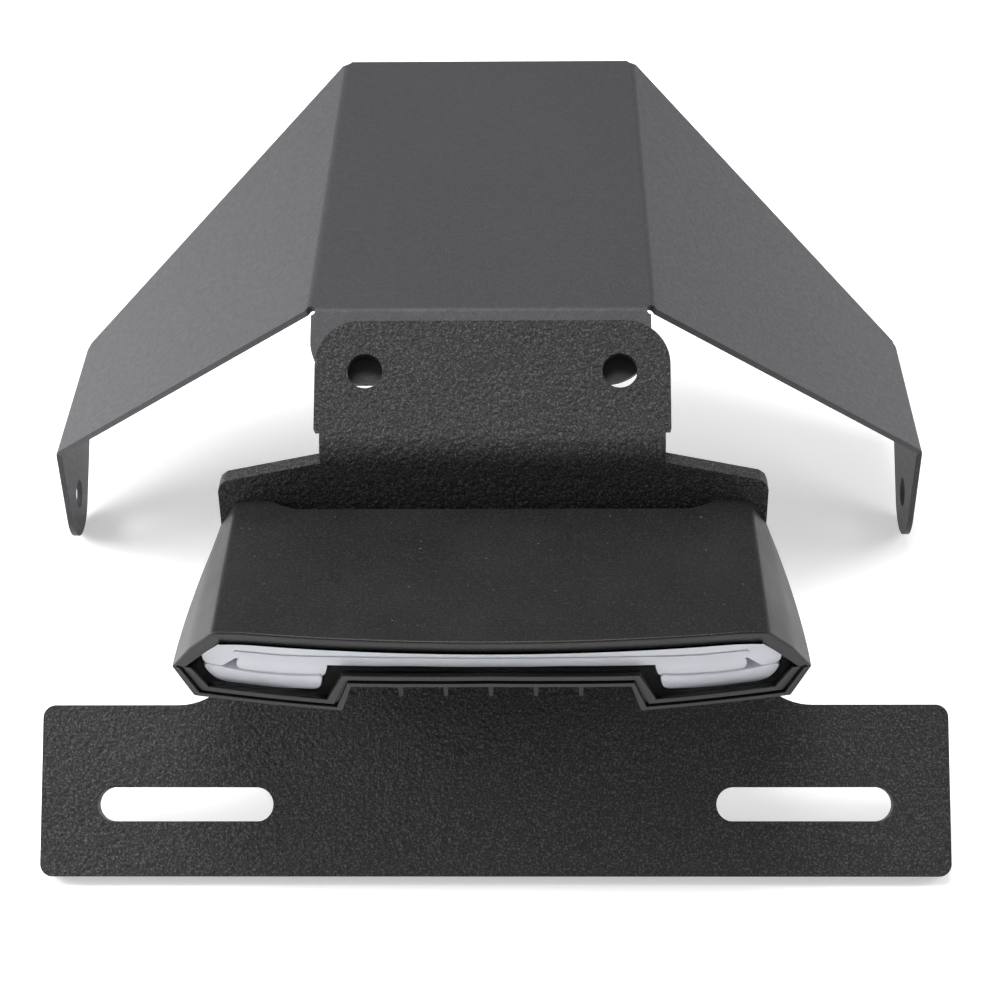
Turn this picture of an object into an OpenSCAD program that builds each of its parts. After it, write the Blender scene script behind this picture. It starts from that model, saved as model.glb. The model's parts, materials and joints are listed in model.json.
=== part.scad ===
// Tail tidy for a motorbike: a folded licence plate bracket that carries a tail light,
// and a folded undertail cover that stands behind it.
// The pair stands on the lower edge of the plate and on the tips of the cover's two ears.
// X runs across, Y runs away from the light, Z is up. The origin is midway between the
// two bolt holes, on the front face of the bracket's flange.

/* [Plate bracket] */
// Thickness of the bracket's sheet
bracket_t = 4.2; // [3:0.1:5]
// Inside radius of the bracket's bends
bracket_bend_r = 4; // [2:0.5:6]
// Width of the licence plate strip
plate_w = 214.2; // [200:0.1:240]
// Height of the licence plate strip along its face
plate_h = 40.2; // [34:0.1:50]
// Radius of the strip's corners
plate_corner_r = 3; // [1:0.5:8]
// How far the plate leans back from upright
plate_lean = 46; // [40:0.5:52]
// Distance between the middles of the two slots
slot_pitch = 146; // [130:1:150]
// End to end length of a slot
slot_l = 41.6; // [30:0.1:46]
// Width of a slot
slot_w = 8; // [5:0.5:10]
// Height of the slots above the plate's lower edge
slot_up = 16.8; // [12:0.1:22]
// Width of the neck between the plate and the light
neck_w = 120; // [100:1:124]
// Radius where the neck runs into the plate
neck_fillet_r = 15; // [6:1:18]
// Distance from the plate's lower edge to the lower bend, along the face
plate_rise = 64; // [60:0.1:72]
// Length of the middle section, bend to bend
middle_l = 44.5; // [44:0.1:54]
// Width of the middle section
middle_w = 126.4; // [124:0.1:140]
// How far the middle section leans back from upright
middle_lean = 3.9; // [0:0.1:8]
// Drop of the sloping shoulders below the upper bend, at their outer ends
shoulder_drop = 8.8; // [6:0.1:11]
// Width of the flange that bolts to the motorbike
flange_w = 81.3; // [78:0.1:86]
// Length of the flange above the upper bend
flange_l = 30.4; // [28:0.1:38]
// How far the flange leans back from upright
flange_lean = 50.8; // [46:0.1:56]
// Radius of the flange's upper corners
flange_corner_r = 10.3; // [4:0.1:11]
// Distance between the two flange bolt holes
flange_hole_pitch = 58.2; // [50:0.1:62]
// Height of the flange bolt holes above the upper bend
flange_hole_up = 18.5; // [16:0.1:20]
// Diameter of the flange bolt holes
flange_hole_d = 8; // [6:0.1:9]

/* [Undertail cover] */
// Thickness of the cover's sheet
cover_t = 1.5; // [1:0.1:2.5]
// Inside radius of the cover's bends
cover_bend_r = 1.2; // [0.8:0.1:3]
// Width of the cover's flat panel, bend to bend
panel_w = 80; // [79:0.1:88]
// Length of the flat panel, near bend to far edge
panel_l = 133.6; // [128:0.1:150]
// Fall of the panel towards its far edge, in degrees
panel_fall = 3.6; // [2:0.1:6]
// How far the wings are folded down from the panel, in degrees
wing_fold = 43.3; // [40:0.1:48]
// Breadth of a wing, from the panel's bend to the ear's bend
wing_b = 103.9; // [100:0.1:108]
// How far the wing's near edge is swept back at the ear
near_sweep = 44.2; // [40:0.1:50]
// How far the wing's far edge is swept forward at the ear
far_sweep = 36.2; // [30:0.1:40]
// Depth of the ears below their bend
ear_drop = 34.5; // [30:0.1:38]
// Radius of the ear's rounded tip
ear_tip_r = 11.7; // [10:0.1:13]
// Distance of the ear's bolt hole from the ear's near corner
ear_hole_in = 13; // [13:0.1:18]
// Diameter of the ear's bolt hole
ear_hole_d = 8; // [5:0.5:9]
// Length of the small flange at the cover's near end
lip_l = 18.6; // [16:0.1:21]
// How far that flange is folded down from the panel, in degrees
lip_fold = 37; // [35:0.5:39]
// Radius of the small flange's corners
lip_corner_r = 10.5; // [4:0.5:12]
// Width of the small flange
lip_w = 79; // [70:0.5:79]
// Sideways shift of the loosely placed cover
cover_shift = -2.8; // [-4:0.1:4]
// Gap between the cover's small flange and the bracket's flange
cover_gap = 0.3; // [0.2:0.1:1]
// Radius of the relief notches at the ends of the bends
relief_r = 1.3; // [1:0.1:1.6]

/* [Tail light shell] */
// Drop of the light's flat top below the bracket's upper bend
light_drop = 13.8; // [13:0.1:15]
// Depth of the light from the bracket to the middle of its front
light_d = 52.1; // [48:0.1:58]
// Width of the light's flat top, crease to crease
top_w = 118.8; // [110:0.1:124]
// Fall of the top's edges below its middle
top_crown = 0.7; // [0.4:0.1:1.5]
// Width of the light at its back
light_back_w = 127.6; // [126:0.1:134]
// Width of the light across its front corners
light_front_w = 139.6; // [136:0.1:146]
// Height of the widest corners below the top
widest_drop = 14.3; // [13:0.1:15]
// Height of the light shell
light_h = 26; // [25:0.1:27]
// Width of the light's lower edge
lower_w = 133.6; // [128:0.1:134]
// Width of the recess under the light
recess_w = 61; // [50:0.5:66]
// Height of the recess under the light
recess_h = 10.2; // [9:0.1:10.5]
// Lean of the light's front, lower edge set back, in degrees
front_lean = 15; // [12:0.5:18]
// Radius of the bowed front
front_bow_r = 443; // [350:1:700]
// Wall of the light's two shells
shell_wall = 2.5; // [2:0.1:2.8]
// Thickness of the hood's flat top
top_wall = 4.2; // [3:0.1:4.5]
// Clearance between pieces that fit into each other
fit_gap = 0.15; // [0.1:0.01:0.2]
// Depth of the shallow cut in the hood's back edge
hood_cut_d = 3.3; // [1:0.1:4]
// Width of the shallow cut in the hood's back edge
hood_cut_w = 100; // [80:1:104]
// Distance between neighbouring ribs in the recess
rib_pitch = 9.8; // [8:0.1:11]
// Height of the ribs in the recess
rib_h = 3.2; // [2:0.1:4]

/* [Tail light inside] */
// Set-back of the clear lens behind the front edge
lens_set = 1; // [0.6:0.1:1.4]
// Thickness of the clear lens
lens_t = 1.2; // [1:0.1:1.5]
// Set-back of the white light guides behind the front edge
guide_set = 2.5; // [2.4:0.1:3]
// Depth of the reflector tray behind the front edge
tray_set = 16; // [14:0.5:18]
// Thickness of the reflector tray
tray_t = 2; // [1.5:0.1:2.5]
// Thickness of the circuit boards
board_t = 1.6; // [1:0.1:2]
// Space between the tray and the circuit board
board_gap = 2.4; // [2:0.1:3]

/* [Fasteners] */
// Distance between the two bolts that hold the light
light_bolt_pitch = 76; // [66:1:84]
// Diameter of the bolts that hold the light
light_bolt_d = 6; // [5:0.1:6]
// Distance between the screws that close the shells, side to side
case_screw_pitch = 98; // [92:1:102]
// Diameter of the cable outlet in the bracket
cable_hole_d = 12; // [10:0.5:14]

/* [Hidden] */

black_coat = "#3a3a3c";
cover_coat = "#5d5d61";
black_plastic = "#2c2c2e";
milky = "#e8e8f0";
eps = 0.05;
$fn = 64;

// Corners of the bracket's profile on its front face, from the plate's lower edge upwards
function along(a) = [sin(a), cos(a)];
bend_low = [0, bracket_t * sin(plate_lean)] + plate_rise * along(plate_lean);
bend_high = bend_low + middle_l * along(middle_lean);
hole_mid = bend_high + flange_hole_up * along(flange_lean);
low_fold = plate_lean - middle_lean;
high_fold = flange_lean - middle_lean;
low_setback = bracket_bend_r * tan(low_fold / 2);
high_setback = (bracket_bend_r + bracket_t) * tan(high_fold / 2);
shoulder_in_w = flange_w - 2 * relief_r;

// The cover stands on the tips of its ears
wing_fall = wing_b * sin(wing_fold);
ear_fold = 90 - wing_fold;
cover_near_z = ear_tip_r + (near_sweep + ear_hole_in) * sin(panel_fall)
    + (wing_fall + ear_drop - ear_tip_r) * cos(panel_fall);
// The lower edge of the cover's small flange leans on the back of the bracket's flange
lip_lean = 90 + panel_fall - lip_fold;
lip_behind = bracket_t + cover_gap;
lip_foot_z = cover_near_z - lip_l * cos(lip_lean);
lip_foot_up = (lip_foot_z - bend_high[1] + lip_behind * sin(flange_lean)) / cos(flange_lean);
lip_foot_y = bend_high[0] + lip_foot_up * sin(flange_lean) + lip_behind * cos(flange_lean);
cover_near_y = lip_foot_y + lip_l * sin(lip_lean);

// Levels of the tail light's shells below its flat top
recess_roof = light_h - recess_h;
foot_rise = 1.5;
bolt_drop = light_drop + 12.5;
flare_start = 14;
inner_back = 3;

// Everything is laid out above the ground and then shifted to the reference point
module standing() {
    translate([0, -hole_mid[0], -hole_mid[1]]) children();
}

// Frames of the three sections of the bracket
module on_plate() {
    translate([0, 0, bracket_t * sin(plate_lean)]) rotate([-plate_lean, 0, 0]) children();
}
module on_middle() {
    translate([0, bend_low[0], bend_low[1]]) rotate([-middle_lean, 0, 0]) children();
}
module on_flange() {
    translate([0, bend_high[0], bend_high[1]]) rotate([-flange_lean, 0, 0]) children();
}

// Points of an arc about c, in equal steps
function arc(c, r, a0, a1, n = 10) = [
    for (k = [0 : n]) let (a = a0 + (a1 - a0) * k / n) c + r * [cos(a), sin(a)]
];

module slot_2d() {
    for (s = [-1, 1]) translate([s * (slot_l - slot_w) / 2, 0]) circle(d = slot_w);
    square([slot_l - slot_w, slot_w], center = true);
}

module rounded_2d(w, h, r) {
    for (x = [r, w - r], y = [r, h - r]) translate([x, y]) circle(r = r);
    translate([r, 0]) square([w - 2 * r, h]);
    translate([0, r]) square([w, h - 2 * r]);
}

module plate_2d() {
    neck_top = plate_rise + 1;
    difference() {
        union() {
            translate([-plate_w / 2, 0]) rounded_2d(plate_w, plate_h, plate_corner_r);
            translate([-neck_w / 2, plate_h - 1]) square([neck_w, neck_top - plate_h + 1]);
            for (s = [-1, 1]) translate([s * neck_w / 2, plate_h]) neck_fillet_2d(s);
        }
        for (s = [-1, 1]) translate([s * slot_pitch / 2, slot_up]) slot_2d();
    }
}

module neck_fillet_2d(side) {
    difference() {
        translate([side > 0 ? -eps : -neck_fillet_r, -eps])
            square([neck_fillet_r + eps, neck_fillet_r + eps]);
        translate([side * neck_fillet_r, neck_fillet_r]) circle(r = neck_fillet_r);
    }
}

// The middle section, measured upwards from the lower bend
module middle_2d() {
    low = -1;
    high = middle_l - high_setback;
    shoulder_z = middle_l - shoulder_drop;
    corner = 2.6;
    difference() {
        polygon([
            [-neck_w / 2, low], [neck_w / 2, low],
            [middle_w / 2, low + 15], [middle_w / 2, shoulder_z - corner],
            [middle_w / 2 - corner * 0.25, shoulder_z - corner * 0.3],
            [middle_w / 2 - corner * 0.8, shoulder_z + corner * 0.15],
            [shoulder_in_w / 2, high], [shoulder_in_w / 2, middle_l + 2],
            [-shoulder_in_w / 2, middle_l + 2], [-shoulder_in_w / 2, high],
            [-middle_w / 2 + corner * 0.8, shoulder_z + corner * 0.15],
            [-middle_w / 2 + corner * 0.25, shoulder_z - corner * 0.3],
            [-middle_w / 2, shoulder_z - corner], [-middle_w / 2, low + 15]
        ]);
        for (s = [-1, 1]) translate([s * light_bolt_pitch / 2, middle_l - bolt_drop])
            circle(d = light_bolt_d + 0.6);
        translate([0, middle_l - bolt_drop]) circle(d = cable_hole_d);
    }
}

module flange_2d() {
    low = high_setback;
    difference() {
        union() {
            translate([-flange_w / 2, low + relief_r])
                rounded_2d(flange_w, flange_l - low - relief_r, flange_corner_r);
            translate([-flange_w / 2, low + relief_r]) square([flange_w, flange_corner_r]);
            translate([-shoulder_in_w / 2, -1]) square([shoulder_in_w, low + relief_r + 2]);
        }
        for (s = [-1, 1]) translate([s * flange_hole_pitch / 2, flange_hole_up])
            circle(d = flange_hole_d);
    }
}

// Side view of the folded sheet, in y and z
module bracket_side_2d() {
    t = bracket_t;
    r = bracket_bend_r;
    low_c = bend_low - low_setback * along(plate_lean) + r * [-cos(plate_lean), sin(plate_lean)];
    high_c = bend_high - high_setback * along(middle_lean)
        + (r + t) * [cos(middle_lean), -sin(middle_lean)];
    tip = bend_high + flange_l * along(flange_lean);
    polygon(concat(
        [[0, t * sin(plate_lean)]],
        arc(low_c, r, -plate_lean, -middle_lean),
        arc(high_c, r + t, 180 - middle_lean, 180 - flange_lean),
        [tip, tip + t * [cos(flange_lean), -sin(flange_lean)]],
        arc(high_c, r, 180 - flange_lean, 180 - middle_lean),
        arc(low_c, r + t, -middle_lean, -plate_lean),
        [[t * cos(plate_lean), 0]]
    ));
}

// A thick slab around a section of sheet, with the section's outline
module through(t) {
    translate([0, t + 3, 0]) rotate([90, 0, 0]) linear_extrude(height = t + 6) children();
}

module plate_bracket() {
    color(black_coat) standing() intersection() {
        translate([-plate_w / 2 - 1, 0, 0]) rotate([90, 0, 90])
            linear_extrude(height = plate_w + 2) bracket_side_2d();
        union() {
            on_plate() through(bracket_t) plate_2d();
            on_middle() through(bracket_t) middle_2d();
            on_flange() through(bracket_t) flange_2d();
        }
    }
}

// Frame of the cover: origin on its upper face at the near bend, y along the panel
module on_cover() {
    translate([cover_shift, cover_near_y, cover_near_z]) rotate([-panel_fall, 0, 0]) children();
}

panel_setback = (cover_bend_r + cover_t) * tan(wing_fold / 2);
ear_setback = (cover_bend_r + cover_t) * tan(ear_fold / 2);
lip_setback = (cover_bend_r + cover_t) * tan(lip_fold / 2);

// Frame of the right wing: x outwards along the wing, y along the panel
module on_wing() {
    translate([panel_w / 2, 0, 0]) rotate([0, wing_fold, 0]) children();
}
// Frame of the right ear: x downwards, y along the panel
module on_ear() {
    on_wing() translate([wing_b, 0, 0]) rotate([0, ear_fold, 0]) children();
}

// Section across the folded cover, in x and z
module cover_section_2d() {
    t = cover_t;
    r = cover_bend_r;
    in_c = [panel_w / 2 - panel_setback, -t - r];
    down = [sin(90 - wing_fold), -sin(wing_fold)];
    out_c = [panel_w / 2, 0] + (wing_b - ear_setback) * down
        - (t + r) * [sin(wing_fold), cos(wing_fold)];
    ear_x = panel_w / 2 + wing_b * cos(wing_fold);
    low = -wing_fall - ear_drop - 1;
    top = concat(arc(in_c, r + t, 90, 90 - wing_fold), arc(out_c, r + t, 90 - wing_fold, 0),
        [[ear_x, low], [ear_x - t, low]]);
    under = concat(arc(out_c, r, 0, 90 - wing_fold), arc(in_c, r, 90 - wing_fold, 90));
    half = concat(top, under);
    flip = [for (k = [len(half) - 1 : -1 : 0]) [-half[k][0], half[k][1]]];
    polygon(concat(half, flip));
}

module wing_2d() {
    polygon([[-1, 0], [0, 0], [wing_b, near_sweep], [wing_b, panel_l - far_sweep],
        [0, panel_l], [-1, panel_l]]);
}

// Point where a line from p touches the circle about c, on the side given by s
function touch(p, c, r, s) = let (d = c - p, l = norm(d), a = atan2(d[1], d[0]) + s * asin(r / l))
    p + sqrt(l * l - r * r) * [cos(a), sin(a)];

module ear_2d() {
    hole = [ear_drop - ear_tip_r, near_sweep + ear_hole_in];
    near = [0, near_sweep];
    far = [0, panel_l - far_sweep];
    difference() {
        union() {
            polygon([near - [1, 0], near, touch(near, hole, ear_tip_r, -1), hole,
                touch(far, hole, ear_tip_r, 1), far, far - [1, 0]]);
            translate(hole) circle(r = ear_tip_r);
        }
        translate(hole) circle(d = ear_hole_d);
    }
}

// A thick slab around a section of the cover, with the section's outline in x and y
module slab() {
    translate([0, 0, -cover_t - 1]) linear_extrude(height = cover_t + 1.6) children();
}

// The small flange at the near end, its bend and a stretch of the panel
module cover_lip() {
    t = cover_t;
    r = cover_bend_r;
    c = [lip_setback, -t - r];
    down = [-cos(lip_fold), -sin(lip_fold)];
    inward = [sin(lip_fold), -cos(lip_fold)];
    difference() {
        translate([-lip_w / 2, 0, 0]) rotate([90, 0, 90]) linear_extrude(height = lip_w)
            polygon(concat([[12, 0]], arc(c, r + t, 90, 90 + lip_fold),
                [lip_l * down, lip_l * down + t * inward],
                arc(c, r, 90 + lip_fold, 90), [[12, -t]]));
        rotate([lip_fold, 0, 0]) translate([0, 0, -t - 1]) linear_extrude(height = t + 2)
            for (s = [0, 1]) mirror([s, 0]) difference() {
                translate([lip_w / 2 - lip_corner_r, -lip_l - 1])
                    square([lip_corner_r + 1, lip_corner_r + 1]);
                translate([lip_w / 2 - lip_corner_r, lip_corner_r - lip_l]) circle(r = lip_corner_r);
            }
    }
}

// Relief notches at the ends of the bends on the right side
module relief_notches() {
    for (y = [0, panel_l]) translate([panel_w / 2, y, 0]) rotate([0, wing_fold / 2, 0])
        cylinder(r = relief_r, h = 12, center = true);
    on_wing() translate([wing_b, panel_l - far_sweep, 0]) rotate([0, ear_fold / 2, 0])
        cylinder(r = relief_r, h = 12, center = true);
}

module undertail_cover() {
    color(cover_coat) standing() on_cover() difference() {
        union() {
            intersection() {
                translate([0, panel_l + 5, 0]) rotate([90, 0, 0])
                    linear_extrude(height = panel_l + 10) cover_section_2d();
                union() {
                    slab() translate([-panel_w / 2, lip_setback])
                        square([panel_w, panel_l - lip_setback]);
                    for (s = [0, 1]) mirror([s, 0, 0]) {
                        on_wing() slab() wing_2d();
                        on_ear() slab() ear_2d();
                    }
                }
            }
            cover_lip();
        }
        for (s = [0, 1]) mirror([s, 0, 0]) relief_notches();
    }
}

// Frame of the light: y = 0 on the face of the bracket's middle section, z = 0 at the light's top
module on_light() {
    on_middle() translate([0, 0, middle_l - light_drop]) children();
}
// Frame of the light's leaning front: y runs into the light, z up along the face
module on_front() {
    translate([0, -light_d, 0]) rotate([front_lean, 0, 0]) children();
}

// Depth of the bowed, leaning front at the place x, z
function front_at(x, z) =
    light_d - (x * x / (2 * front_bow_r) - z * sin(front_lean)) / cos(front_lean);
corner_d = front_at(light_front_w / 2, -widest_drop);

// Half width of the light at its widest line, at depth d in front of the bracket
function flare(d) = light_back_w / 2 + (light_front_w - light_back_w) / 2
    * pow(max(0, min(d, corner_d) - flare_start) / (corner_d - flare_start), 1.5);

// Outer points of the hood's right half at depth d, from the middle outwards
function hood_outer(d) = [
    [0, 0], [18, 0], [36, 0], [hood_cut_w / 2 - 4, 0], [top_w / 2 - 5, 0],
    [top_w / 2, -top_crown], [flare(d), -widest_drop]
];
function hood_inner(d) = [
    [0, -top_wall], [18, -top_wall], [36, -top_wall], [hood_cut_w / 2 - 4, -top_wall],
    [top_w / 2 - 6.5, -top_wall], [top_w / 2 - 2, -top_crown - top_wall],
    [flare(d) - shell_wall * 1.1, -widest_drop]
];
// Outer points of the housing's right half at depth d, from the widest line to the middle
function pan_outer(d) = [
    [flare(d), -widest_drop - fit_gap], [lower_w / 2 - 3 + 3 * d / light_d, foot_rise - light_h],
    [50, foot_rise / 2 - light_h], [recess_w / 2 + 2.4, -light_h],
    [recess_w / 2, -recess_roof - 1.1], [15, -recess_roof - 0.4], [0, -recess_roof]
];
function pan_inner(d) = let (w = shell_wall) [
    [flare(d) - w * 1.1, -widest_drop - fit_gap],
    [lower_w / 2 - 3 + 3 * d / light_d - w, foot_rise - light_h + w],
    [50, foot_rise / 2 - light_h + w], [recess_w / 2 + 2.4 + w * 0.9, w - light_h],
    [recess_w / 2 + w * 0.5, w - recess_roof - 1.1], [15, w - recess_roof - 0.4],
    [0, w - recess_roof]
];
function flipped(p) = [for (k = [len(p) - 1 : -1 : 0]) [-p[k][0], p[k][1]]];
function without_last(p) = [for (k = [0 : len(p) - 2]) p[k]];
function without_first(p) = [for (k = [1 : len(p) - 1]) p[k]];

// Columns of each shell, with the outside on the left hand when walked along
function hood_cols(d, inner) =
    let (h = inner ? hood_inner(d) : hood_outer(d)) concat(flipped(without_first(h)), h);
function pan_cols(d, inner) =
    let (h = inner ? pan_inner(d) : pan_outer(d)) concat(h, flipped(without_last(h)));

// Shallow cut in the back edge of the hood
function back_at(x) = abs(x) < hood_cut_w / 2 - 3.5 ? hood_cut_d : 0;

shell_steps = 6;
// Place of a column's point on ring k, between the light's back and its front
function shell_point(cols, k, j, inner, cut) =
    let (far = cols(corner_d, inner)[j], start = cut ? back_at(far[0]) : 0)
    let (d = start + (front_at(far[0], far[1]) - start) * k / shell_steps)
    let (p = cols(d, inner)[j]) [p[0], -d, p[1]];
function quad(a, b, c, d) = [[a, b, c], [a, c, d]];

// A thin shell along a row of columns, as one closed solid
module strip_shell(cols, cut) {
    n = len(cols(0, false));
    points = [
        for (k = [0 : shell_steps]) for (inner = [false, true]) for (j = [0 : n - 1])
            shell_point(cols, k, j, inner, cut)
    ];
    function o(k, j) = k * 2 * n + j;
    function i(k, j) = k * 2 * n + n + j;
    last = shell_steps;
    faces = concat(
        [for (k = [0 : last - 1]) for (j = [0 : n - 2])
            for (f = quad(o(k, j), o(k, j + 1), o(k + 1, j + 1), o(k + 1, j))) f],
        [for (k = [0 : last - 1]) for (j = [0 : n - 2])
            for (f = quad(i(k, j), i(k + 1, j), i(k + 1, j + 1), i(k, j + 1))) f],
        [for (k = [0 : last - 1]) for (f = quad(o(k, 0), o(k + 1, 0), i(k + 1, 0), i(k, 0))) f],
        [for (k = [0 : last - 1])
            for (f = quad(o(k + 1, n - 1), o(k, n - 1), i(k, n - 1), i(k + 1, n - 1))) f],
        [for (j = [0 : n - 2]) for (f = quad(o(0, j + 1), o(0, j), i(0, j), i(0, j + 1))) f],
        [for (j = [0 : n - 2])
            for (f = quad(o(last, j), o(last, j + 1), i(last, j + 1), i(last, j))) f]
    );
    polyhedron(points, faces);
}

// The space inside the shells at depth d, drawn in by the gap g
function cavity_ring(d, g) = let (w = shell_wall + g, t = top_wall + g) [
    [-top_w / 2 + 6.5 + g, -t], [top_w / 2 - 6.5 - g, -t],
    [top_w / 2 - 2 - g * 1.3, -top_crown - t], [flare(d) - w * 1.1, -widest_drop],
    [lower_w / 2 - 3 + 3 * d / light_d - w, foot_rise - light_h + w],
    [recess_w / 2 + 2.4 + w * 0.9, w - light_h + foot_rise / 4], [recess_w / 2 + w * 0.6, w - recess_roof - 1.1],
    [0, w - recess_roof], [-recess_w / 2 - w * 0.6, w - recess_roof - 1.1],
    [-recess_w / 2 - 2.4 - w * 0.9, w - light_h + foot_rise / 4],
    [-lower_w / 2 + 3 - 3 * d / light_d + w, foot_rise - light_h + w],
    [-flare(d) + w * 1.1, -widest_drop], [-top_w / 2 + 2 + g * 1.3, -top_crown - t]
];
module cavity(g) {
    steps = 4;
    d0 = 10;
    d1 = light_d + 8;
    rings = [for (k = [0 : steps]) d0 + (d1 - d0) * k / steps];
    n = len(cavity_ring(0, g));
    points = [for (d = rings) for (p = cavity_ring(min(d, light_d), g)) [p[0], -d, p[1]]];
    sides = [for (k = [0 : steps - 1]) for (j = [0 : n - 1])
        for (f = quad(k * n + j, k * n + (j + 1) % n, (k + 1) * n + (j + 1) % n, (k + 1) * n + j)) f];
    polyhedron(points, concat(sides,
        [[for (j = [n - 1 : -1 : 0]) j], [for (j = [0 : n - 1]) steps * n + j]]));
}

// All that lies more than v behind the bowed and leaning front
module behind_front(v) {
    on_front() translate([0, front_bow_r + v, 0])
        cylinder(r = front_bow_r, h = 140, center = true, $fn = 360);
}
// A bowed layer from v0 to v1 behind the front
module front_layer(v0, v1) {
    difference() {
        behind_front(v0);
        behind_front(v1);
    }
}

module box_at(x0, x1, y0, y1, z0, z1) {
    translate([x0, y0, z0]) cube([x1 - x0, y1 - y0, z1 - z0]);
}

screw_spots = [for (x = [-1, 1], d = [8, 20]) [x * case_screw_pitch / 2, -d]];
pillar_r = 3;
pillar_foot = 6;

module light_hood() {
    color(black_plastic) standing() on_light() difference() {
        union() {
            strip_shell(function (d, inner) hood_cols(d, inner), true);
            for (p = screw_spots) translate([p[0], p[1], pillar_foot - light_h])
                cylinder(r = pillar_r, h = light_h - pillar_foot - top_wall + 1);
        }
        for (p = screw_spots) translate([p[0], p[1], pillar_foot - 1 - light_h])
            cylinder(r = 1.2, h = 11);
    }
}

rib_top_w = 1.3;
rib_low_w = 0.7;
module recess_rib(x) {
    translate([x, -light_d + 20, -recess_roof + 0.4]) rotate([90, 0, 0]) linear_extrude(height = 12)
        polygon([[-rib_top_w / 2, 0], [-rib_low_w / 2, -rib_h - 0.4],
            [rib_low_w / 2, -rib_h - 0.4], [rib_top_w / 2, 0]]);
}

window_y = -19;
window_w = 30;
window_d = 12;
insert_r = 4;
boss_r = 5.6;
boss_l = 10;
bolt_z = light_drop - bolt_drop;

// Outline of the back wall, inside the hood and joined to the housing's walls
module back_wall_2d() {
    w = shell_wall + fit_gap;
    half = [
        [0, -top_wall - fit_gap], [top_w / 2 - 7, -top_wall - fit_gap],
        [top_w / 2 - 2.5, -top_crown - top_wall - fit_gap],
        [light_back_w / 2 - w * 1.1, -widest_drop],
        [light_back_w / 2 - 1, -widest_drop - fit_gap - 0.5],
        [lower_w / 2 - 4, foot_rise - light_h + 1], [50, foot_rise / 2 - light_h + 1],
        [recess_w / 2 + 3.4, 1 - light_h], [recess_w / 2 + 1, -recess_roof - 0.5],
        [0, 1 - recess_roof]
    ];
    polygon(concat(half, flipped([for (k = [1 : len(half) - 2]) half[k]])));
}

module light_housing() {
    color(black_plastic) standing() on_light() difference() {
        union() {
            strip_shell(function (d, inner) pan_cols(d, inner), false);
            rotate([90, 0, 0]) linear_extrude(height = inner_back) back_wall_2d();
            for (s = [-1, 1]) translate([s * light_bolt_pitch / 2, 0, bolt_z])
                rotate([90, 0, 0]) cylinder(r = boss_r, h = inner_back + boss_l);
            for (p = screw_spots) translate([p[0], p[1], shell_wall - light_h])
                cylinder(r = pillar_r + 1, h = pillar_foot - shell_wall - fit_gap);
            for (k = [-2 : 2]) recess_rib(k * rib_pitch);
        }
        for (s = [-1, 1]) translate([s * light_bolt_pitch / 2, 1, bolt_z])
            rotate([90, 0, 0]) cylinder(r = insert_r + 0.05, h = inner_back + boss_l - 1);
        translate([0, 1, bolt_z]) rotate([90, 0, 0]) cylinder(r = cable_hole_d / 2 + 1.4, h = inner_back + 2);
        for (p = screw_spots) translate([p[0], p[1], -60]) {
            cylinder(r = 1.7, h = 60 - light_h + pillar_foot + 1);
            cylinder(r = 3.1, h = 60 - light_h + 2.2);
        }
        box_at(-window_w / 2 + 2, window_w / 2 - 2, window_y - window_d / 2 + 2,
            window_y + window_d / 2 - 2, -recess_roof - 3, -recess_roof + 6);
    }
}

// The cavity of the light, drawn in by a clearance, between two layers behind the front
module cavity_layer(v0, v1, gap) {
    intersection() {
        cavity(gap);
        front_layer(v0, v1);
    }
}

module front_lens() {
    color("#dfe6ea", 0.3) standing() on_light()
        cavity_layer(lens_set, lens_set + lens_t, fit_gap);
}

module reflector_tray() {
    hole = 3.6;
    color("#151517") standing() on_light() {
        difference() {
            cavity_layer(tray_set, tray_set + tray_t, fit_gap);
            // Windows in front of the lamps
            on_front() for (k = [-led_side : led_side])
                translate([k * led_pitch - hole / 2, tray_set - 3, led_up - hole / 2])
                    cube([hole, tray_t + 6, hole]);
        }
        // Posts that carry the circuit board
        for (s = [-1, 1]) board_screw_axis(s) difference() {
            translate([0, 0, -board_t - board_gap - 0.8]) cylinder(r = 2.6, h = board_gap + 0.5);
            translate([0, 0, -board_t - board_gap]) cylinder(r = 1.25, h = board_gap + 1);
        }
    }
}

// A white bar of the light guide, from an outline in x and z on the leaning front
module guide_bar(extra) {
    color(milky) standing() on_light() intersection() {
        on_front() translate([0, 40, 0]) rotate([90, 0, 0]) linear_extrude(height = 60) children();
        cavity_layer(guide_set + extra, tray_set, fit_gap);
    }
}

// Outline of the upper guide: a long band whose ends hook downwards
band_top = -3.9;
band_low = -9.6;
band_x = 53.6;
module band_2d() {
    half = [
        [band_x, band_top - 1], [61.4, -11.4], [60.4, -14.2], [58.2, -14.9],
        [56.6, -14.2], [54.2, -11.6], [52.4, band_low - 1.2], [33, band_low - 0.9]
    ];
    flip = [for (k = [len(half) - 1 : -1 : 0]) [-half[k][0], half[k][1]]];
    polygon(concat([[0, band_top]], half, [[0, band_low + 0.5]], flip));
}
module inner_bar_2d() {
    polygon([[34.6, -10.9], [52.6, -11.2], [54.6, -12.6], [56.2, -14.6], [54, -14.7], [35.4, -14.2]]);
}
module lower_bar_2d() {
    polygon([[36.4, -14.6], [54, -15], [58.4, -15.3], [61, -15], [61.4, -16],
        [59.4, -20.2], [57.6, -21], [40, -20.6], [37.8, -19.8]]);
}

module upper_light_guide() {
    guide_bar(0) band_2d();
}
module left_inner_light_bar() {
    guide_bar(0.8) mirror([1, 0]) inner_bar_2d();
}
module right_inner_light_bar() {
    guide_bar(0.8) inner_bar_2d();
}
module left_lower_light_bar() {
    guide_bar(0.3) mirror([1, 0]) lower_bar_2d();
}
module right_lower_light_bar() {
    guide_bar(0.3) lower_bar_2d();
}

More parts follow.
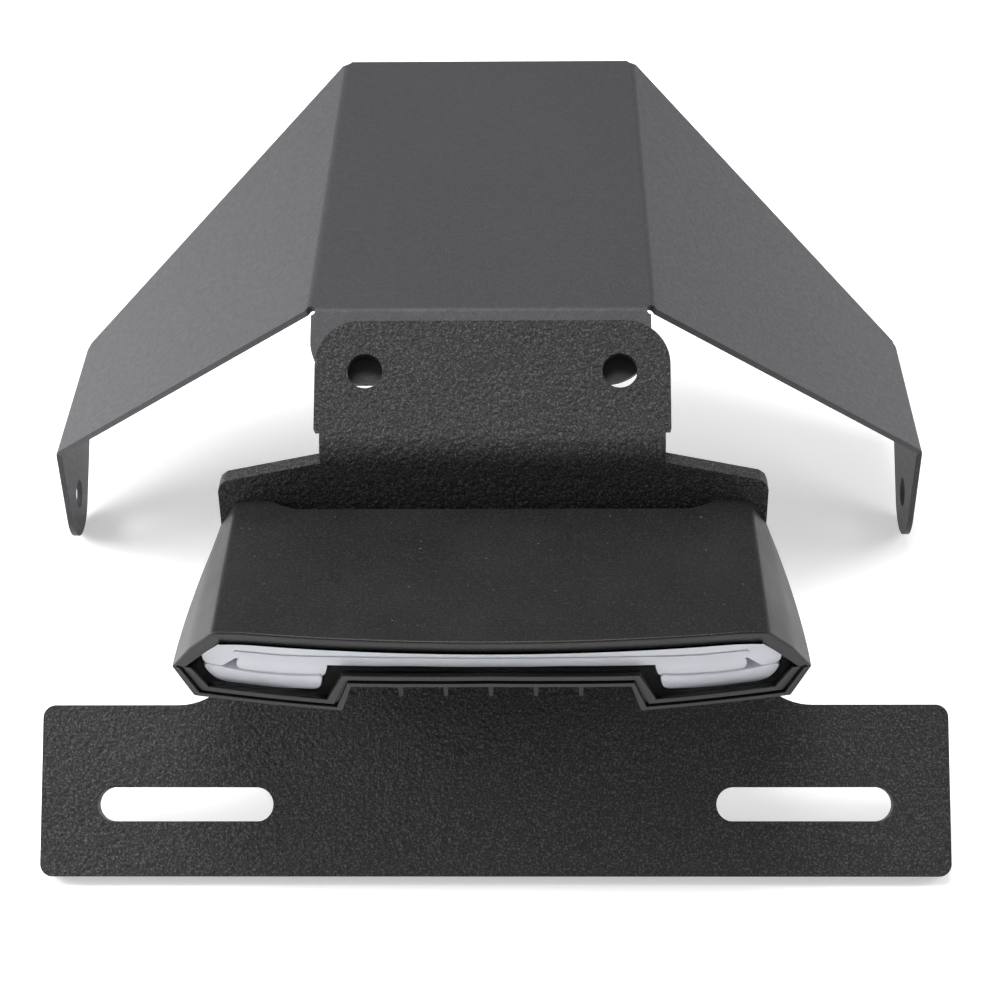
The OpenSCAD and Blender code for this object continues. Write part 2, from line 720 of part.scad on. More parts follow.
board_v = tray_set + tray_t + board_gap;
module led_board() {
    color("#1f5a35") standing() on_light() difference() {
        intersection() {
            cavity_layer(board_v, board_v + board_t, 1);
            box_at(-45, 45, -light_d, 0, -light_h, 0);
        }
        for (s = [-1, 1]) board_screw_axis(s) translate([0, 0, -1])
            cylinder(r = 1.3, h = 20, center = true);
    }
}
// Heights of the screws and of the row of lamps, up the leaning front
screw_up = -15;
led_up = -12.5;
led_pitch = 7;
led_side = 5;
// Frame of a board screw: z runs out of the board towards the back
module board_screw_axis(s) {
    x = s * 41;
    on_front() translate([x, board_v + x * x / (2 * front_bow_r) + board_t, screw_up])
        rotate([-90, 0, 0]) children();
}

led = [3, 1.4, 3];
module board_leds() {
    color("#f2f0d0") standing() on_light() on_front()
        for (k = [-led_side : led_side]) led_at(k * led_pitch, led_up);
}
module led_at(x, z) {
    translate([x - led[0] / 2, board_v + x * x / (2 * front_bow_r) - led[1], z - led[2] / 2])
        cube(led);
}

// Plug socket on the back of the circuit board, beside the licence plate lamp
socket = [10, 4, 5];
socket_x = 16.5;
module lead_socket() {
    far_x = socket_x + socket[0];
    back_v = board_v + board_t + far_x * far_x / (2 * front_bow_r) + 0.05;
    color("#e9e9e2") standing() on_light() on_front()
        translate([socket_x, back_v, -17.5]) difference() {
            cube(socket);
            translate([1, 1.5, 1]) cube(socket - [2, 0, 2]);
        }
}

module board_screws() {
    color("#9a9a9e") standing() on_light() for (s = [-1, 1]) board_screw_axis(s) {
        cylinder(r = 2.2, h = 1.2);
        translate([0, 0, 0.2 - board_t - board_gap]) cylinder(r = 1.2, h = board_t + board_gap);
    }
}

// Licence plate lamp, in the roof of the recess and shining down
window_z = -recess_roof + shell_wall + fit_gap;
module licence_lamp_window() {
    color("#dfe6ea", 0.35) standing() on_light() union() {
        box_at(-window_w / 2, window_w / 2, window_y - window_d / 2, window_y + window_d / 2,
            window_z, window_z + 1.2);
        box_at(-window_w / 2 + 2.2, window_w / 2 - 2.2, window_y - window_d / 2 + 2.2,
            window_y + window_d / 2 - 2.2, -recess_roof + 0.5, window_z + 0.1);
        // Cheeks that carry the lamp's circuit board
        for (s = [0, 1]) mirror([s, 0, 0]) box_at(window_w / 2 - 1.5, window_w / 2,
            window_y - window_d / 2, window_y + window_d / 2, window_z + 1, window_z + 3.2);
    }
}
module licence_lamp_board() {
    color("#1f5a35") standing() on_light()
        box_at(-window_w / 2, window_w / 2, window_y - window_d / 2 + 1,
            window_y + window_d / 2, window_z + 3.2, window_z + 3.2 + board_t);
}
module licence_lamp_leds() {
    color("#f2f0d0") standing() on_light()
        for (x = [-8, 0, 8]) translate([x - 1.5, window_y - 1.5, window_z + 1.9]) cube([3, 3, 1.3]);
}

// A ring about the bolt's axis, from y = y0 back to y = y1
module bolt_axis(x) {
    translate([x, 0, bolt_z]) rotate([-90, 0, 0]) children();
}
module threaded_inserts() {
    color("#c9a24a") standing() on_light() for (s = [-1, 1])
        bolt_axis(s * light_bolt_pitch / 2) translate([0, 0, -inner_back - boss_l + 2])
            difference() {
                cylinder(r = insert_r, h = inner_back + boss_l - 2.2);
                translate([0, 0, -1]) cylinder(d = light_bolt_d + 0.1, h = inner_back + boss_l + 2);
            }
}
washer_t = 1.6;
module light_washers() {
    color("#a8a8ac") standing() on_light() for (s = [-1, 1])
        bolt_axis(s * light_bolt_pitch / 2) translate([0, 0, bracket_t]) difference() {
            cylinder(r = light_bolt_d, h = washer_t);
            translate([0, 0, -1]) cylinder(d = light_bolt_d + 0.4, h = washer_t + 2);
        }
}
module light_bolts() {
    color("#a8a8ac") standing() on_light() for (s = [-1, 1])
        bolt_axis(s * light_bolt_pitch / 2) {
            translate([0, 0, -inner_back - boss_l + 3])
                cylinder(d = light_bolt_d, h = inner_back + boss_l - 3 + bracket_t + washer_t);
            translate([0, 0, bracket_t + washer_t]) cylinder(d = light_bolt_d * 1.9, h = 4.2, $fn = 6);
        }
}

module housing_screws() {
    color("#a8a8ac") standing() on_light() for (p = screw_spots) translate([p[0], p[1], 0]) {
        translate([0, 0, -light_h + 0.5]) cylinder(r = 2.7, h = 1.6);
        translate([0, 0, -light_h + 2]) cylinder(r = 1.15, h = 12);
    }
}

// Rubber grommet in the bracket, where the lead leaves the light
module cable_grommet() {
    r = cable_hole_d / 2;
    color("#1c1c1c") standing() on_light() bolt_axis(0) rotate_extrude()
        polygon([[3, -1.6], [r + 1.2, -1.6], [r + 1.2, -0.1], [r - 0.1, -0.1],
            [r - 0.1, bracket_t + 0.1], [r + 1.6, bracket_t + 0.1], [r + 1.4, bracket_t + 1.8],
            [4.4, bracket_t + 5], [3, bracket_t + 5]]);
}

undertail_cover();
plate_bracket();
light_hood();
light_housing();
front_lens();
upper_light_guide();
left_inner_light_bar();
right_inner_light_bar();
left_lower_light_bar();
right_lower_light_bar();
reflector_tray();
led_board();
board_leds();
lead_socket();
board_screws();
licence_lamp_window();
licence_lamp_board();
licence_lamp_leds();
threaded_inserts();
light_bolts();
light_washers();
housing_screws();
cable_grommet();
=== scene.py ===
"""Looks of a motorbike tail tidy: a folded licence plate bracket with a tail light, and the folded
undertail cover that stands behind it. Lengths are in metres unless a name says mm."""

import json
import math

import bmesh
import bpy
from mathutils import Matrix, Vector


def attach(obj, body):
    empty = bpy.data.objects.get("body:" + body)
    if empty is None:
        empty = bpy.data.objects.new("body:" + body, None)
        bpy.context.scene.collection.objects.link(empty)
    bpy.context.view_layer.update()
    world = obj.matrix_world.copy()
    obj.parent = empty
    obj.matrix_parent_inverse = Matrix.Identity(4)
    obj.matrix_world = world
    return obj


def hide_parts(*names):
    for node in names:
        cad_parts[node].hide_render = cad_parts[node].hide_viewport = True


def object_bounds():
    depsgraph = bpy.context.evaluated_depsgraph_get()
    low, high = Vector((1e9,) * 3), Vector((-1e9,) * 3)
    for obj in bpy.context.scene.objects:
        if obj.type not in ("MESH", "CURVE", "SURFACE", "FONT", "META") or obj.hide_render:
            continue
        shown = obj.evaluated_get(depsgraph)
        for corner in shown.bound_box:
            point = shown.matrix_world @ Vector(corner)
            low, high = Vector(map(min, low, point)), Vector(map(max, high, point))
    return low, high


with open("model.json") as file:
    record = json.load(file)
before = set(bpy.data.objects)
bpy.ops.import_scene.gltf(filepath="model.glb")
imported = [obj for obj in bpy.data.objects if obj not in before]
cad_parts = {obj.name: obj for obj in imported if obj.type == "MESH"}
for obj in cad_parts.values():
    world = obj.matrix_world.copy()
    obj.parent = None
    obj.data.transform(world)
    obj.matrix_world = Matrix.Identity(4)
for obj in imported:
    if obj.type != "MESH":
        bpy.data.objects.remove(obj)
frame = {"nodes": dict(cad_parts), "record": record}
cad_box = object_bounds()

MM = 0.001
floor_z = cad_box[0].z


# Node helpers


def add(tree, kind, **settings):
    """A shader node of that kind, with its inputs set by name."""
    node = tree.nodes.new(kind)
    for name, value in settings.items():
        node.inputs[name.title()].default_value = value
    return node


def noise(tree, coords, scale, detail=2.0, roughness=0.5):
    node = add(tree, "ShaderNodeTexNoise", scale=scale, detail=detail, roughness=roughness)
    tree.links.new(coords, node.inputs["Vector"])
    return node.outputs["Fac"]


def ramp(tree, source, stops):
    """A colour ramp from (place, value) pairs, where a value is a grey or a colour."""
    node = tree.nodes.new("ShaderNodeValToRGB")
    while len(node.color_ramp.elements) < len(stops):
        node.color_ramp.elements.new(0.5)
    for element, (place, value) in zip(node.color_ramp.elements, stops):
        element.position = place
        colour = value if isinstance(value, tuple) else (value, value, value)
        element.color = (*colour, 1)
    tree.links.new(source, node.inputs["Fac"])
    return node.outputs["Color"]


def span(tree, source, low, high, start=0.0, end=1.0):
    """Source's range start to end, spread over low to high."""
    node = tree.nodes.new("ShaderNodeMapRange")
    for name, value in (("From Min", start), ("From Max", end), ("To Min", low), ("To Max", high)):
        node.inputs[name].default_value = value
    tree.links.new(source, node.inputs["Value"])
    return node.outputs["Result"]


def blended(tree, factor, a, b):
    """Two values mixed: colours as sockets or tuples, or numbers where b is one."""
    plain = isinstance(b, float)
    node = tree.nodes.new("ShaderNodeMix")
    node.data_type = "FLOAT" if plain else "RGBA"
    first = 2 if plain else 6
    for place, value in ((0, factor), (first, a), (first + 1, b)):
        socket = node.inputs[place]
        if isinstance(value, bpy.types.NodeSocket):
            tree.links.new(value, socket)
        else:
            socket.default_value = (*value, 1) if isinstance(value, tuple) else value
    return node.outputs[0 if plain else 2]


def bumps(tree, height, depth, strength=1.0, under=None):
    """A bump of that depth in metres, laid over the bump that is under it."""
    node = tree.nodes.new("ShaderNodeBump")
    node.inputs["Strength"].default_value = strength
    node.inputs["Distance"].default_value = depth
    tree.links.new(height, node.inputs["Height"])
    if under is not None:
        tree.links.new(under, node.inputs["Normal"])
    return node.outputs["Normal"]


def started(name):
    """A new material with its tree, its main shader and its object coordinates."""
    made = bpy.data.materials.new(name)
    made.use_nodes = True
    tree = made.node_tree
    coords = tree.nodes.new("ShaderNodeTexCoord").outputs["Object"]
    return made, tree, tree.nodes["Principled BSDF"], coords


def grey(level):
    return (level, level, level)


# Finishes


def sandy_powder_coat():
    """Matt black powder coat with a fine sandy grain, on the thick bracket."""
    made, tree, shader, coords = started("bracket_coat")
    fine = noise(tree, coords, 2100, 3, 0.65)
    coarse = noise(tree, coords, 900, 2, 0.5)
    patches = noise(tree, coords, 28, 3, 0.55)
    body = ramp(tree, patches, [(0.3, (0.010, 0.010, 0.0108)), (0.7, (0.013, 0.013, 0.014))])
    grains = ramp(tree, fine, [(0.5, 0.0), (0.68, 1.0)])
    colour = blended(tree, grains, body, (0.085, 0.085, 0.088))
    tree.links.new(colour, shader.inputs["Base Color"])
    tree.links.new(span(tree, coarse, 0.5, 0.68, 0.3, 0.7), shader.inputs["Roughness"])
    base = bumps(tree, coarse, 0.0006, 0.9)
    tree.links.new(bumps(tree, fine, 0.00025, 0.9, base), shader.inputs["Normal"])
    shader.inputs["Specular IOR Level"].default_value = 0.36
    return made


def satin_powder_coat():
    """Satin grey-black powder coat with a very fine orange peel, on the thin cover."""
    made, tree, shader, coords = started("cover_coat")
    fine = noise(tree, coords, 3000, 3, 0.6)
    peel = noise(tree, coords, 700, 2, 0.5)
    patches = noise(tree, coords, 14, 2, 0.5)
    body = ramp(tree, patches, [(0.3, (0.037, 0.037, 0.0415)), (0.7, (0.041, 0.041, 0.046))])
    grains = ramp(tree, fine, [(0.48, 0.0), (0.75, 1.0)])
    colour = blended(tree, grains, body, (0.078, 0.078, 0.084))
    tree.links.new(colour, shader.inputs["Base Color"])
    tree.links.new(span(tree, peel, 0.46, 0.56, 0.3, 0.7), shader.inputs["Roughness"])
    base = bumps(tree, peel, 0.00008, 0.4)
    tree.links.new(bumps(tree, fine, 0.00005, 0.5, base), shader.inputs["Normal"])
    shader.inputs["Specular IOR Level"].default_value = 0.3
    return made


def moulded_plastic(name, level, roughness, painted_shade_level=0.0025, inner_roughness=0.22):
    """Black moulded plastic with a fine spark grain and a few light specks of dust. A shell's inside,
    stored on its points, is smooth, and its colour is darkened there as painted shade."""
    made, tree, shader, coords = started(name)
    fine = noise(tree, coords, 3600, 2, 0.6)
    flow = noise(tree, coords, 45, 3, 0.6)
    body = ramp(tree, flow, [(0.3, grey(level * 0.9)), (0.7, grey(level * 1.12))])
    sparks = ramp(tree, noise(tree, coords, 1900, 2, 0.6), [(0.48, 0.0), (0.72, 1.0)])
    body = blended(tree, sparks, body, (level * 2.6, level * 2.6, level * 3.0))
    dust = ramp(tree, noise(tree, coords, 1100, 0, 0.5), [(0.83, 0.0), (0.87, 1.0)])
    body = blended(tree, dust, body, grey(0.06))
    inside = tree.nodes.new("ShaderNodeAttribute")
    inside.attribute_name = "inside"
    share = inside.outputs["Fac"]
    # The inside's darker base colour is painted shade in the hollow of the shell; its smoothness is real
    tree.links.new(blended(tree, share, body, grey(painted_shade_level)), shader.inputs["Base Color"])
    rough = span(tree, flow, roughness - 0.05, roughness + 0.05, 0.3, 0.7)
    tree.links.new(blended(tree, share, rough, inner_roughness), shader.inputs["Roughness"])
    height = blended(tree, share, fine, 0.5)
    tree.links.new(bumps(tree, height, 0.00006, 0.5), shader.inputs["Normal"])
    shader.inputs["Specular IOR Level"].default_value = 0.34
    return made


def gloss_black():
    """Smooth black plastic of the tray behind the guides."""
    made, tree, shader, coords = started("black_gloss")
    flow = noise(tree, coords, 60, 2, 0.5)
    colour = ramp(tree, flow, [(0.3, grey(0.006)), (0.7, grey(0.011))])
    tree.links.new(colour, shader.inputs["Base Color"])
    tree.links.new(span(tree, flow, 0.2, 0.28, 0.3, 0.7), shader.inputs["Roughness"])
    return made


def milky_plastic():
    """Milky white light guide, a little bluish, that light sinks into."""
    made, tree, shader, coords = started("milky_guide")
    cloud = noise(tree, coords, 90, 3, 0.55)
    colour = ramp(tree, cloud, [(0.3, (0.84, 0.87, 0.95)), (0.7, (0.89, 0.91, 0.97))])
    tree.links.new(colour, shader.inputs["Base Color"])
    tree.links.new(span(tree, cloud, 0.28, 0.36, 0.3, 0.7), shader.inputs["Roughness"])
    shader.inputs["Subsurface Weight"].default_value = 0.35
    shader.inputs["Subsurface Radius"].default_value = (1, 1, 1)
    shader.inputs["Subsurface Scale"].default_value = 0.001
    return made


def clear_plastic():
    """Thin clear lens: mostly see-through, with a faint gloss."""
    made, tree, shader, coords = started("clear_lens")
    waves = noise(tree, coords, 30, 2, 0.5)
    colour = ramp(tree, waves, [(0.3, grey(0.02)), (0.7, grey(0.04))])
    tree.links.new(colour, shader.inputs["Base Color"])
    shader.inputs["Roughness"].default_value = 0.05
    shader.inputs["Alpha"].default_value = 0.05
    return made


def metal(name, tint, roughness, lines):
    """Turned or plated metal with fine lines round its axis."""
    made, tree, shader, coords = started(name)
    fine = noise(tree, coords, lines, 2, 0.6)
    colour = ramp(tree, fine, [(0.3, tuple(0.85 * c for c in tint)), (0.7, tint)])
    tree.links.new(colour, shader.inputs["Base Color"])
    shader.inputs["Metallic"].default_value = 1.0
    tree.links.new(span(tree, fine, roughness - 0.06, roughness + 0.06), shader.inputs["Roughness"])
    tree.links.new(bumps(tree, fine, 0.00002, 0.3), shader.inputs["Normal"])
    return made


def plain_plastic(name, dark, light, roughness, grain=1500):
    """Smooth plastic, rubber or lacquer with a faint mottle."""
    made, tree, shader, coords = started(name)
    fine = noise(tree, coords, grain, 2, 0.5)
    tree.links.new(ramp(tree, fine, [(0.35, dark), (0.65, light)]), shader.inputs["Base Color"])
    tree.links.new(span(tree, fine, roughness - 0.04, roughness + 0.04), shader.inputs["Roughness"])
    tree.links.new(bumps(tree, fine, 0.00002, 0.3), shader.inputs["Normal"])
    return made


finishes = {
    "bracket_coat": sandy_powder_coat(),
    "cover_coat": satin_powder_coat(),
    "black_plastic": moulded_plastic("black_plastic", 0.008, 0.42),
    "black_gloss": gloss_black(),
    "milky_guide": milky_plastic(),
    "clear_lens": clear_plastic(),
    "circuit_board": plain_plastic("circuit_board", (0.01, 0.1, 0.04), (0.02, 0.14, 0.06), 0.35),
    "led": plain_plastic("led", (0.8, 0.74, 0.35), (0.9, 0.84, 0.45), 0.3),
    "white_plastic": plain_plastic("white_plastic", grey(0.7), grey(0.78), 0.45),
    "steel": metal("steel", (0.56, 0.56, 0.58), 0.32, 2500),
    "brass": metal("brass", (0.72, 0.52, 0.2), 0.3, 2500),
    "rubber": plain_plastic("rubber", grey(0.015), grey(0.022), 0.7),
}
slot_of = {part["node"]: part["material_slot"] for part in frame["record"]["subparts"]}


# Pieces


def made_piece(name, shape):
    """A new smooth-shaded object from a bmesh, which is freed."""
    mesh = bpy.data.meshes.new(name)
    shape.to_mesh(mesh)
    shape.free()
    for face in mesh.polygons:
        face.use_smooth = True
    piece = bpy.data.objects.new(name, mesh)
    bpy.context.scene.collection.objects.link(piece)
    return piece


def sharpened(piece, angle):
    """Edges that turn by more than the angle in degrees are shaded sharp."""
    piece.data.set_sharp_from_angle(angle=math.radians(angle))


def rounded(piece, radius_mm, steps, corner, miter="MITER_SHARP"):
    """Rounds the edges that turn by more than the corner angle, and keeps flat faces flat."""
    bevel = piece.modifiers.new("edges", "BEVEL")
    bevel.width = radius_mm * MM
    bevel.segments = steps
    bevel.limit_method = "ANGLE"
    bevel.angle_limit = math.radians(corner)
    bevel.miter_outer = miter
    piece.modifiers.new("flat_faces", "WEIGHTED_NORMAL").weight = 100


def flattened(piece):
    """Turns what the modifiers make of the piece into its plain mesh."""
    bpy.context.view_layer.update()
    graph = bpy.context.evaluated_depsgraph_get()
    flat = bpy.data.meshes.new_from_object(
        piece.evaluated_get(graph), preserve_all_data_layers=True, depsgraph=graph
    )
    piece.modifiers.clear()
    piece.data = flat


def baked(piece, node):
    """The piece as a plain mesh that stands for its solid."""
    flattened(piece)
    piece.data.materials.clear()
    piece.data.materials.append(finishes[slot_of[node]])
    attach(piece, "root")
    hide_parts(node)


def finished(node, radius_mm, weld=2e-6, flat_angle=0.4):
    """A copy of a solid with its edges rounded as paint and moulding leave them."""
    shape = bmesh.new()
    shape.from_mesh(frame["nodes"][node].data)
    bmesh.ops.remove_doubles(shape, verts=shape.verts, dist=weld)
    bmesh.ops.dissolve_limit(
        shape, angle_limit=math.radians(flat_angle), use_dissolve_boundaries=False,
        verts=shape.verts, edges=shape.edges,
    )
    piece = made_piece(node + "_piece", shape)
    rounded(piece, radius_mm, 2, 32, "MITER_ARC")
    baked(piece, node)


edge_radius_mm = {
    "undertail_cover": 0.35,
    "plate_bracket": 0.55,
    "light_washers": 0.2,
    "cable_grommet": 0.3,
}
for node_name, radius in edge_radius_mm.items():
    finished(node_name, radius)


# Tail light shells, laid out in the light's own frame in mm: x across, y away from the front, z up

middle_lean = math.radians(3.9)
light_frame = Matrix.Translation((0, -15.275, -25.461)) @ Matrix.Rotation(-middle_lean, 4, "X")
light_d = 52.1
front_lean = math.radians(15)
bow_r = 443
# Half the light's width at the bracket, what it gains towards the front, and where it has gained it
back_half, gain, gain_depth = 66.0, 3.8, 43
# The hood: half its flat top, the fall to the crease, the widest line and its walls
top_half = 59.4
crown = 0.7
widest_z = -14.3
top_wall = 3.8
crease_wall = 3.6
side_wall = 2.912
# Its back edge: how far it is cut away between the two humps, where a hump starts and its run
cut_depth, hump_x, hump_run = 3.7, 45.2, 7.5
# The lower shell: its rim, its recess over the plate and its underside
rim_wall = 3.6
rim_gap = 0.15
recess_half = 30.5
recess_roof = -15.8
foot_z = -26.0
# The bolts into the bracket and the screws that close the shells
bolt_x, bolt_z = 38, -12.5
screw_x, screw_depths = 49, (8, 20)
# Loops of a shell: the depth that gives its length, rings along its outside and its inside, and the
# length its lip is rounded over
sight_depth = 44.0
outer_rings, inner_rings = 20, 8
lip_length = 0.55


def half_width(depth):
    """Half the light's width along its widest line, at that depth in front of the bracket."""
    return back_half + gain * (1 - max(0.0, 1 - depth / gain_depth) ** 1.6)


def front_y(x, z, set_back=0.0):
    """Place of the bowed, leaning front at x and z, or of a face set back behind it."""
    bow = x * x / (2 * bow_r) - z * math.sin(front_lean) + set_back
    return -light_d + bow / math.cos(front_lean)


def front_point(x, v, z):
    """A point of the light's frame from its place on the leaning front, v behind the bowed face."""
    bow = v + x * x / (2 * bow_r)
    return Vector((
        x, -light_d + bow * math.cos(front_lean) - z * math.sin(front_lean),
        bow * math.sin(front_lean) + z * math.cos(front_lean),
    ))


def placed(point):
    """The point's place in the shared frame, in metres."""
    return (light_frame @ Vector(point)) * MM


def eased(t):
    """A smooth rise from 0 to 1."""
    t = min(max(t, 0.0), 1.0)
    return t * t * (3 - 2 * t)


def arc_points(corner, before, after, radius, steps):
    """Points of a rounded corner in a section, between its two neighbours."""
    corner, before, after = Vector(corner), Vector(before), Vector(after)
    a = (before - corner).normalized() * radius
    b = (after - corner).normalized() * radius
    made = []
    for k in range(steps + 1):
        t = k / steps
        made.append(corner + a * (1 - t) ** 2 + b * t ** 2)
    return made


def spread(a, b, count):
    """Points from a towards b in equal steps, without b itself."""
    a, b = Vector(a), Vector(b)
    return [a.lerp(b, k / count) for k in range(count)]


def hood_section(depth):
    """Pairs of outer and inner points of the hood's right half, from the middle outwards."""
    wide = half_width(depth)
    crease = (top_half, -crown)
    edge = (wide, widest_z)
    bulge = Vector(((top_half + wide) / 2 + 0.55, (widest_z - crown) / 2 + 0.4))
    shoulder = arc_points((top_half - 5, 0), (0, 0), crease, 3.0, 3)
    outer = spread((0, 0), shoulder[0], 16) + shoulder
    soft_crease = arc_points(crease, (top_half - 5, 0), bulge, 0.9, 5)
    outer += spread(shoulder[-1], soft_crease[0], 3)[1:] + soft_crease
    outer += spread(soft_crease[-1], bulge, 4)[1:] + spread(bulge, edge, 5) + [Vector(edge)]
    inner_crease = Vector((top_half - 1.2, -crown - crease_wall))
    inner_edge = Vector((wide - side_wall, widest_z))
    pairs = []
    for point in outer:
        if point.x < top_half - 2:
            inside = Vector((point.x * (inner_crease.x / top_half), point.y - top_wall))
        else:
            t = min(max((-crown - point.y) / (-crown - widest_z), 0.0), 1.0)
            inside = inner_crease.lerp(inner_edge, t)
        pairs.append((point, inside))
    return pairs


def pan_section(depth):
    """Pairs of outer and inner points of the lower shell's right half, from the rim inwards."""
    wide = half_width(depth)
    low_x = 63.8 + 3 * depth / light_d
    w = rim_wall
    outer = [
        (wide, widest_z - rim_gap), (low_x, foot_z + 1.5), (50, foot_z + 0.75), (recess_half + 2.4, foot_z),
        (recess_half, recess_roof - 1.1), (15, recess_roof - 0.4), (0, recess_roof),
    ]
    inner = [
        (wide - w * 1.12, widest_z - rim_gap), (low_x - w, foot_z + 1.5 + w), (50, foot_z + 0.75 + w),
        (recess_half + 2.4 + w * 0.9, foot_z + w), (recess_half + w * 0.5, recess_roof - 1.1 + w),
        (15, recess_roof - 0.4 + w), (0, recess_roof + w),
    ]
    pairs = []
    for k, count in enumerate((5, 4, 6, 4, 5, 5)):
        pairs += zip(spread(outer[k], outer[k + 1], count), spread(inner[k], inner[k + 1], count))
    pairs.append((Vector(outer[-1]), Vector(inner[-1])))
    return pairs


def back_cut(x):
    """How far the hood's back edge is cut away at x, with a smooth run to its two humps."""
    return cut_depth * (1 - eased((abs(x) - hump_x) / hump_run))


def column_loop(section, index, lip, cut):
    """One closed loop of a shell: out along its outside, over its lip and back along its inside."""
    edge = section(sight_depth)[index][0]
    start = cut(edge.x)
    end = -front_y(edge.x, edge.y)
    loop = []
    for k in range(outer_rings + 1):
        depth = start + (end - lip_length - start) * k / outer_rings
        point = section(depth)[index][0]
        loop.append((point.x, -depth, point.y))
    outer, inner = section(end)[index]
    for share, set_back in lip:
        point = outer.lerp(inner, share)
        loop.append((point.x, front_y(point.x, point.y, set_back), point.y))
    inner_end = end - lip[-1][1] - 0.3
    for k in range(inner_rings + 1):
        t = k / inner_rings
        point = section(end * (1 - t) + start * t)[index][1]
        loop.append((point.x, -(inner_end * (1 - t) + start * t), point.y))
    return loop


def shell_mesh(name, section, lip, cut=lambda x: 0.0):
    """A thin moulded shell from loops laid side by side, mirrored and closed at its two rims."""
    half = [column_loop(section, k, lip, cut) for k in range(len(section(0)))]
    if half[0][0][0] > half[-1][0][0]:
        half.reverse()
    loops = [[(-x, y, z) for x, y, z in loop] for loop in reversed(half[1:])] + half
    size = len(loops[0])
    shape = bmesh.new()
    share = shape.verts.layers.float.new("inside")
    rows = [[shape.verts.new(placed(point)) for point in loop] for loop in loops]
    for row in rows:
        # Points of the inside get 1, which smooths the plastic there and darkens its colour as painted
        # shade
        for k, vert in enumerate(row):
            vert[share] = 1.0 if k > outer_rings + len(lip) else 0.0
    for a, b in zip(rows, rows[1:]):
        for k in range(size):
            shape.faces.new((a[k], a[(k + 1) % size], b[(k + 1) % size], b[k]))
    shape.faces.new(rows[0])
    shape.faces.new(reversed(rows[-1]))
    bmesh.ops.recalc_face_normals(shape, faces=shape.faces)
    return made_piece(name, shape)


def lathe(shape, place, axis, profile, sides=36):
    """A turned form from (radius, along) pairs, a third value of 1 for a hexagon and 2 for a knurl.
    It is closed at its ends where the radius is 0, and otherwise is a ring."""
    turn = Vector((0, 0, 1)).rotation_difference(Vector(axis)).to_matrix()
    rows = []
    for radius, along, *kind in profile:
        row = []
        for k in range(sides if radius else 1):
            angle = 2 * math.pi * k / sides
            r = radius
            if kind == [1]:
                r *= math.cos(math.pi / 6) / math.cos(angle % (math.pi / 3) - math.pi / 6)
            elif kind == [2]:
                r *= 1 - 0.05 * (k % 2)
            spot = turn @ Vector((r * math.cos(angle), r * math.sin(angle), along))
            row.append(shape.verts.new(placed(Vector(place) + spot)))
        rows.append(row)
    if len(rows[0]) > 1:
        rows.append(rows[0])
    made = []
    for a, b in zip(rows, rows[1:]):
        for k in range(sides):
            j = (k + 1) % sides
            corners = [a[k % len(a)], a[j % len(a)], b[j % len(b)], b[k % len(b)]]
            corners = [v for n, v in enumerate(corners) if v not in corners[:n]]
            made.append(shape.faces.new(corners))
    bmesh.ops.recalc_face_normals(shape, faces=made)


def tube(shape, place, axis, outer, inner, length):
    """A round tube from its place along its axis."""
    lathe(shape, place, axis, [(outer, 0), (outer, length), (inner, length), (inner, 0)])


def slab(shape, near, far):
    """The faces of a closed form between two outlines with as many points."""
    near = [shape.verts.new(spot) for spot in near]
    far = [shape.verts.new(spot) for spot in far]
    made = [shape.faces.new(near), shape.faces.new(reversed(far))]
    count = len(near)
    for k in range(count):
        j = (k + 1) % count
        made.append(shape.faces.new((near[k], far[k], far[j], near[j])))
    return made


def prism(shape, outline, y0, y1):
    """An outline in x and z of the light's frame, from y0 to y1."""
    near, far = ([placed((x, y, z)) for x, z in outline] for y in (y0, y1))
    bmesh.ops.recalc_face_normals(shape, faces=slab(shape, near, far))


def mirrored_outline(half):
    """A closed outline from its right half, which starts and ends in the middle."""
    return half + [(-x, z) for x, z in reversed(half[1:-1])]


# The lips from the outer to the inner side: share of the wall, and how far set back in mm
hood_lip = [
    (0.0, 0.5), (0.015, 0.3), (0.05, 0.13), (0.1, 0.03), (0.15, 0.0), (0.27, 0.0), (0.32, 0.3), (0.4, 0.32),
    (0.96, 0.32), (1.0, 0.45),
]
pan_lip = [
    (0.0, 0.16), (0.04, 0.0), (0.34, 0.0), (0.37, 0.12), (0.38, 0.9), (0.53, 0.9), (0.54, 0.45),
    (0.57, 0.33), (0.96, 0.33), (1.0, 0.5),
]


def joined(parts):
    """Separate pieces as one, without the pieces themselves."""
    shape = bmesh.new()
    for part in parts:
        shape.from_mesh(part.data)
        bpy.data.objects.remove(part)
    return shape


def make_hood():
    """The upper shell with the four pillars that its screws go into."""
    shape = joined([shell_mesh("light_hood_shell", hood_section, hood_lip, back_cut)])
    for x in (-screw_x, screw_x):
        for depth in screw_depths:
            tube(shape, (x, -depth, -20), (0, 0, 1), 3.0, 1.25, 17)
    hood = made_piece("light_hood_piece", shape)
    sharpened(hood, 42)
    baked(hood, "light_hood")


def make_housing():
    """The lower shell with its back wall, the bosses of its inserts and the ribs of its recess."""
    shape = bmesh.new()
    wide = half_width(0)
    prism(shape, mirrored_outline([
        (0, -4.4), (top_half - 6, -4.4), (top_half - 1.6, -5.4), (wide - 3, widest_z),
        (wide - 1.2, widest_z - 0.6), (62.8, foot_z + 2.4), (50, foot_z + 1.6),
        (recess_half + 3.4, foot_z + 1), (recess_half + 1, recess_roof - 0.5), (0, recess_roof + 1),
    ]), 0.0, -3.0)
    for side in (-1, 1):
        tube(shape, (side * bolt_x, -2.9, bolt_z), (0, -1, 0), 5.6, 4.05, 10.1)
        for depth in screw_depths:
            tube(shape, (side * screw_x, -depth, foot_z + 2.4), (0, 0, 1), 4.0, 1.7, 3.5)
    walls = made_piece("housing_walls", shape)
    shell = shell_mesh("light_housing_shell", pan_section, pan_lip)
    housing = made_piece("light_housing_piece", joined([shell, walls, recess_ribs()]))
    sharpened(housing, 38)
    baked(housing, "light_housing")


# Rows of the same piece, set out with geometry nodes


